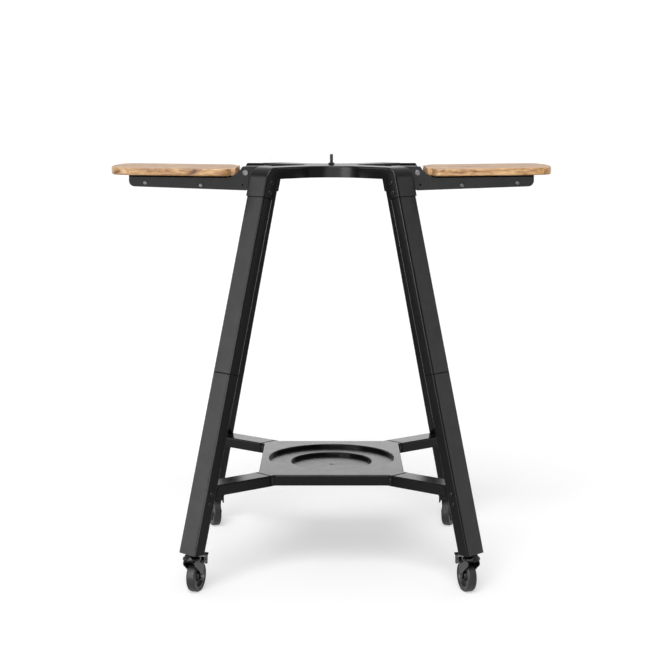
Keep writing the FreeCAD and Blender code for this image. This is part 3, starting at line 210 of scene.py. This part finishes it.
class Shade(Nodes):
    """A material in the making, with the place on the piece that its patterns follow."""

    def __init__(self, name):
        self.material = bpy.data.materials.new(name)
        self.material.use_nodes = True
        super().__init__(self.material.node_tree)
        self.surface = self.tree.nodes["Principled BSDF"]
        self.place = self.add("ShaderNodeTexCoord").outputs["Object"]

    def stretched(self, scale, place):
        node = self.add("ShaderNodeMapping")
        self.feed(node.inputs["Vector"], place)
        node.inputs["Scale"].default_value = scale
        return node.outputs["Vector"]

    def noise(self, scale, detail, rough, bend=0.0, place=None):
        node = self.add("ShaderNodeTexNoise")
        self.feed(node.inputs["Vector"], place or self.place)
        node.inputs["Scale"].default_value = scale
        node.inputs["Detail"].default_value = detail
        node.inputs["Roughness"].default_value = rough
        node.inputs["Distortion"].default_value = bend
        return node.outputs["Fac"]

    def ramp(self, value, stops):
        """Stops are (position, number) or (position, colour)."""
        node = self.add("ShaderNodeValToRGB")
        self.feed(node.inputs["Fac"], value)
        points = node.color_ramp.elements
        while len(points) < len(stops):
            points.new(0.5)
        for point, (at, what) in zip(points, stops):
            point.position = at
            point.color = what if isinstance(what, tuple) else (what, what, what, 1.0)
        return node.outputs["Color"]

    def between(self, value, first, second, ends=(0.3, 0.7)):
        """Goes from one number or colour to the other as the value crosses the ends."""
        return self.ramp(value, [(ends[0], first), (ends[1], second)])

    def mix(self, share, first, second):
        node = self.add("ShaderNodeMix")
        node.data_type = "RGBA"
        self.feed(node.inputs[0], share)
        self.feed(node.inputs[6], first)
        self.feed(node.inputs[7], second)
        return node.outputs[2]

    def bump(self, height, depth, strength, over=None):
        node = self.add("ShaderNodeBump")
        self.feed(node.inputs["Height"], height)
        node.inputs["Distance"].default_value = depth
        node.inputs["Strength"].default_value = strength
        if over:
            self.feed(node.inputs["Normal"], over)
        return node.outputs["Normal"]

    def finish(self, base, rough, normal=None, metal=0.0, gloss=0.5):
        self.feed(self.surface.inputs["Base Color"], base)
        self.feed(self.surface.inputs["Roughness"], rough)
        self.surface.inputs["Metallic"].default_value = metal
        self.surface.inputs["Specular IOR Level"].default_value = gloss
        if normal:
            self.feed(self.surface.inputs["Normal"], normal)
        return self.material


def along_diagonal(shade):
    """Distance out from the middle along the nearest diagonal, seen from above."""
    axes = shade.axes(shade.place)
    x = shade.maths("ABSOLUTE", axes["X"])
    y = shade.maths("ABSOLUTE", axes["Y"])
    return shade.maths("MULTIPLY", shade.maths("ADD", x, y), math.sqrt(0.5))


def along_leg(shade):
    """Distance down the nearest leg's axis, from the height of the top face."""
    outwards = shade.maths("MULTIPLY", along_diagonal(shade), math.sin(LEG_TILT))
    down = shade.maths("MULTIPLY", shade.axes(shade.place)["Z"], math.cos(LEG_TILT))
    start = LEG_TOP_RADIUS * math.sin(LEG_TILT) - TOP_Z * math.cos(LEG_TILT)
    return shade.maths("SUBTRACT", shade.maths("SUBTRACT", outwards, down), start)


def powder_coat(name, dark, light, rough, gloss, joints=()):
    """Satin powder coat: a fine orange peel, with a slow change of tone and gloss.

    Each joint is a line between two pieces, painted near black and matte as the shade in its gap: how it is
    measured, its place and half its width.
    """
    shade = Shade(name)
    slow = shade.noise(TONE_SCALE, detail=3, rough=0.55)
    base = shade.between(slow, colour(dark), colour(light))
    changing = shade.noise(GLOSS_SCALE, detail=4, rough=0.6)
    roughness = shade.between(changing, rough - GLOSS_CHANGE, rough + GLOSS_CHANGE, (0.25, 0.75))
    peel = shade.bump(shade.noise(PEEL_SCALE, detail=2, rough=0.4), PEEL_DEPTH, strength=0.25)
    grain = shade.bump(shade.noise(GRAIN_SCALE, detail=2, rough=0.5), GRAIN_DEPTH, 0.5, over=peel)
    for measure, at, half in joints:
        away = shade.maths("ABSOLUTE", shade.maths("SUBTRACT", measure(shade), at))
        line = shade.between(shade.maths("DIVIDE", away, 2 * half), 1.0, 0.0, (0.4, 0.6))
        # painted shade: along each joint line the paint turns near black and matte, over a shallow groove
        base = shade.mix(line, base, colour(GAP_SHADE))
        roughness = shade.mix(line, roughness, WHITE)
        grain = shade.bump(shade.maths("SUBTRACT", 1.0, line), JOINT_DEPTH, 1.0, over=grain)
    return shade.finish(base, roughness, grain, gloss=gloss)


def frame_paint(name, joints=()):
    """The black paint of the frame, with the joint lines that a piece shows painted dark as shade."""
    return powder_coat(name, PAINT_DARK, PAINT_LIGHT, PAINT_ROUGH, PAINT_GLOSS, joints)


def board_wood(name):
    """Oiled hardwood glued up from long strips: dark figure, knots, pores and a fine bump."""
    shade = Shade(name)
    dark = colour(WOOD_DARK)
    across = shade.maths("DIVIDE", shade.axes(shade.place)["Y"], STRIP_WIDTH)
    strip = shade.maths("FLOOR", shade.maths("ADD", across, 0.5))
    tone = shade.add("ShaderNodeTexWhiteNoise")
    tone.noise_dimensions = "1D"
    shade.feed(tone.inputs["W"], strip)
    # each strip is cut from another place in the tree
    jump = shade.add("ShaderNodeVectorMath")
    jump.operation = "MULTIPLY_ADD"
    shade.feed(jump.inputs[0], tone.outputs["Color"])
    jump.inputs[1].default_value = (STRIP_JUMP, STRIP_JUMP, STRIP_JUMP)
    shade.feed(jump.inputs[2], shade.place)
    place = jump.outputs["Vector"]
    figure = shade.noise(1.0, 4, 0.6, bend=1.8, place=shade.stretched(FIGURE_SCALE, place))
    rings = shade.noise(1.0, 5, 0.6, bend=2.4, place=shade.stretched(RING_SCALE, place))
    pores = shade.noise(1.0, 2, 0.5, bend=0.2, place=shade.stretched(PORE_SCALE, place))
    base = shade.ramp(figure, [(0.36, colour(WOOD_LIGHT)), (0.52, colour(WOOD_MIDDLE)), (0.70, dark)])
    streak = shade.between(rings, 0.0, 0.55, (0.50, 0.64))
    base = shade.mix(streak, base, dark)
    knots = shade.add("ShaderNodeTexVoronoi")
    shade.feed(knots.inputs["Vector"], shade.stretched(KNOT_SCALE, place))
    knots.inputs["Scale"].default_value = 1.0
    knots.inputs["Randomness"].default_value = 1.0
    knot = shade.ramp(knots.outputs["Distance"], [(0.05, 1.0), (0.17, 0.35), (0.26, 0.0)])
    base = shade.mix(knot, base, colour(WOOD_KNOT))
    darker = shade.between(tone.outputs["Value"], 0.0, 0.32, (0.0, 1.0))
    base = shade.mix(darker, base, dark)
    pore = shade.between(pores, 0.0, 0.5, (0.60, 0.74))
    base = shade.mix(pore, base, dark)
    roughness = shade.between(rings, *WOOD_ROUGH)
    relief = shade.bump(rings, RING_DEPTH, strength=0.35)
    fine = shade.bump(pores, PORE_DEPTH, strength=0.5, over=relief)
    return shade.finish(base, roughness, fine, gloss=WOOD_GLOSS)


def zinc(name, black_within=0.0):
    """Plated steel: clouded tone, fine scratches, and black within a distance of the middle."""
    shade = Shade(name)
    cloud = shade.noise(CLOUD_SCALE, detail=4, rough=0.6)
    base = shade.between(cloud, colour(ZINC_DARK), colour(ZINC_LIGHT))
    if black_within:
        away = shade.maths("ABSOLUTE", shade.axes(shade.place)["X"])
        outside = shade.maths("GREATER_THAN", away, black_within)
        base = shade.mix(outside, colour(SCREW_DARK), base)
    scratch = shade.noise(SCRATCH_SCALE, detail=3, rough=0.6, bend=2.0)
    roughness = shade.between(scratch, ZINC_ROUGH - 0.06, ZINC_ROUGH + 0.08)
    relief = shade.bump(scratch, SCRATCH_DEPTH, strength=0.4)
    return shade.finish(base, roughness, relief, metal=1.0)


def moulded(name, dark, light, rough, texture, depth):
    """Moulded plastic or rubber: a fine even texture, dull in places."""
    shade = Shade(name)
    slow = shade.noise(MOULDED_TONE_SCALE, detail=3, rough=0.6)
    base = shade.between(slow, colour(dark), colour(light))
    changing = shade.noise(MOULDED_ROUGH_SCALE, detail=3, rough=0.5)
    roughness = shade.between(changing, rough - MOULDED_ROUGH_CHANGE, rough + MOULDED_ROUGH_CHANGE)
    relief = shade.bump(shade.noise(texture, detail=2, rough=0.5), depth, strength=0.6)
    return shade.finish(base, roughness, relief, gloss=MOULDED_GLOSS)


# the finish of each slot in the record
slot_finish = {
    "frame_paint": frame_paint("satin_powder_coat"),
    "board_wood": board_wood("oiled_hardwood"),
    "fastener_steel": zinc("zinc_plate"),
    "stud_steel": powder_coat("black_oxide", OXIDE, PAINT_LIGHT, rough=0.34, gloss=0.3),
    "caster_paint": powder_coat("caster_enamel", CASTER_DARK, CASTER_LIGHT, rough=0.26, gloss=0.25),
    "hub_plastic": moulded("hub_plastic", PLASTIC, RUBBER_LIGHT, rough=0.45, texture=700, depth=0.00003),
    "tyre_rubber": moulded("tyre_rubber", RUBBER_DARK, RUBBER_LIGHT, rough=0.5, texture=500, depth=0.00005),
    "plug_plastic": moulded("plug_plastic", PLUG, PLASTIC, rough=0.5, texture=800, depth=0.00003),
}

# the legs' and the shelf's joint lines, painted near black as shade in the gaps and under the sockets' ends
leg_joints = [(along_leg, drop / math.cos(LEG_TILT), LEG_JOINT_HALF) for drop in (SEAM_DROP, SOCKET_DROP)]
leg_finish = frame_paint("powder_coat_with_joint_shade", leg_joints)
shelf_finish = frame_paint("shelf_powder_coat", [(along_diagonal, EAR_JOINT, EAR_JOINT_HALF)])

# the nodes that differ from the rest of their slot, by how their names end
own_finish = {
    "frame_screws": powder_coat("black_screws", SCREW_DARK, SCREW_LIGHT, rough=0.22, gloss=0.25),
    "table_fasteners": zinc("zinc_plate_and_black_pins", PINS_WITHIN),
    "upper_leg": leg_finish,
    "lower_leg": leg_finish,
    "shelf_tray": shelf_finish,
    "shelf_arm": shelf_finish,
}


def finish_of(part):
    """A node's own finish, or else that of the slot the record gives it."""
    for ending, finish in own_finish.items():
        if part["node"].endswith(ending):
            return finish
    return slot_finish[part["material_slot"]]


def dress(part):
    """Gives a node its finish and smooth shading, with its real edges kept sharp."""
    mesh = frame["nodes"][part["node"]].data
    mesh.materials.clear()
    mesh.materials.append(finish_of(part))
    for face in mesh.polygons:
        face.use_smooth = True
    mesh.set_sharp_from_angle(angle=math.radians(SHARP))


def put(name, data):
    """A new object in the scene."""
    thing = bpy.data.objects.new(name, data)
    bpy.context.scene.collection.objects.link(thing)
    return thing


def aim(lamp, comes_from):
    """Turns a lamp so that its light comes from that direction."""
    lamp.rotation_mode = "QUATERNION"
    lamp.rotation_quaternion = Vector(comes_from).to_track_quat("Z", "Y")


def make_floor():
    """A plain pale floor: white to the camera and in reflections, and it keeps the shadow."""
    half = FLOOR_SIZE / 2
    corners = [(-half, -half, 0), (half, -half, 0), (half, half, 0), (-half, half, 0)]
    mesh = bpy.data.meshes.new("floor")
    mesh.from_pydata(corners, [], [(0, 1, 2, 3)])
    floor = put("floor", mesh)
    shade = Shade("pale_floor")
    shade.finish((FLOOR_COLOUR, FLOOR_COLOUR, FLOOR_COLOUR, 1.0), FLOOR_ROUGH, gloss=0.0)
    rays = shade.add("ShaderNodeLightPath").outputs
    seen = shade.maths("MAXIMUM", rays["Is Camera Ray"], rays["Is Glossy Ray"])
    seen = shade.maths("MAXIMUM", seen, rays["Is Transmission Ray"])
    shade.surface.inputs["Emission Color"].default_value = WHITE
    shade.feed(shade.surface.inputs["Emission Strength"], shade.maths("MULTIPLY", seen, FLOOR_LIFT))
    mesh.materials.append(shade.material)


def make_sun(name, comes_from, strength, angle):
    data = bpy.data.lights.new(name, "SUN")
    data.energy = strength
    data.angle = math.radians(angle)
    aim(put(name, data), comes_from)


def left_unlit(nodes):
    """A collection for light linking that keeps a lamp's light off the nodes."""
    group = bpy.data.collections.new("left_unlit")
    for node in nodes:
        group.objects.link(frame["nodes"][node])
    for member in group.collection_objects:
        member.light_linking.link_state = "EXCLUDE"
    return group


def make_softbox(name, place, target, width, height, level):
    """A rectangle of light that shows in reflections alone."""
    data = bpy.data.lights.new(name, "AREA")
    data.shape = "RECTANGLE"
    data.size = width
    data.size_y = height
    data.energy = level * math.pi * width * height
    lamp = put(name, data)
    lamp.location = place
    aim(lamp, Vector(place) - Vector(target))
    lamp.visible_camera = False
    lamp.visible_diffuse = False
    return lamp


def make_world():
    """Even soft light. The camera sees plain white, and a reflection sees the studio described above."""
    world = bpy.data.worlds.new("studio")
    world.use_nodes = True
    bpy.context.scene.world = world
    nodes = Nodes(world.node_tree)
    axes = nodes.axes(nodes.add("ShaderNodeTexCoord").outputs["Generated"])
    horizon = nodes.eased(axes["Z"], HORIZON_ENDS, 1.0, 0.0)
    sides = nodes.eased(axes["Y"], SIDE_ENDS, FRONT_SHARE, SIDE_SHARE)
    behind = nodes.eased(axes["Y"], REAR_ENDS, 0.0, 1.0)
    around = nodes.chosen(behind, sides, 1.0)
    reflected = nodes.chosen(horizon, OVERHEAD, around)
    rays = nodes.add("ShaderNodeLightPath").outputs
    level = nodes.chosen(rays["Is Glossy Ray"], AMBIENT, reflected)
    level = nodes.chosen(rays["Is Transmission Ray"], level, 1.0)
    level = nodes.chosen(rays["Is Camera Ray"], level, 1.0)
    background = nodes.tree.nodes["Background"]
    background.inputs["Color"].default_value = WHITE
    nodes.feed(background.inputs["Strength"], level)


def make_camera():
    data = bpy.data.cameras.new("camera")
    data.sensor_width = SENSOR
    data.lens = FOCAL
    data.shift_x = SHIFT_X
    data.clip_end = CAMERA_REACH
    camera = put("camera", data)
    camera.location = CAMERA_PLACE
    camera.rotation_euler = (math.radians(90 - CAMERA_PITCH), 0, 0)
    bpy.context.scene.camera = camera


for subpart in frame["record"]["subparts"]:
    dress(subpart)
make_floor()
make_sun("key", KEY_FROM, KEY_STRENGTH, KEY_ANGLE)
make_sun("top", TOP_FROM, TOP_STRENGTH, TOP_ANGLE)
flat_tops = left_unlit(FLAT_TOPS)
for softbox, settings in SOFTBOXES.items():
    lamp = make_softbox(softbox, *settings)
    if softbox in SIDE_SOFTBOXES:
        lamp.light_linking.receiver_collection = flat_tops
make_world()
make_camera()
bpy.context.scene.view_settings.view_transform = "Standard"
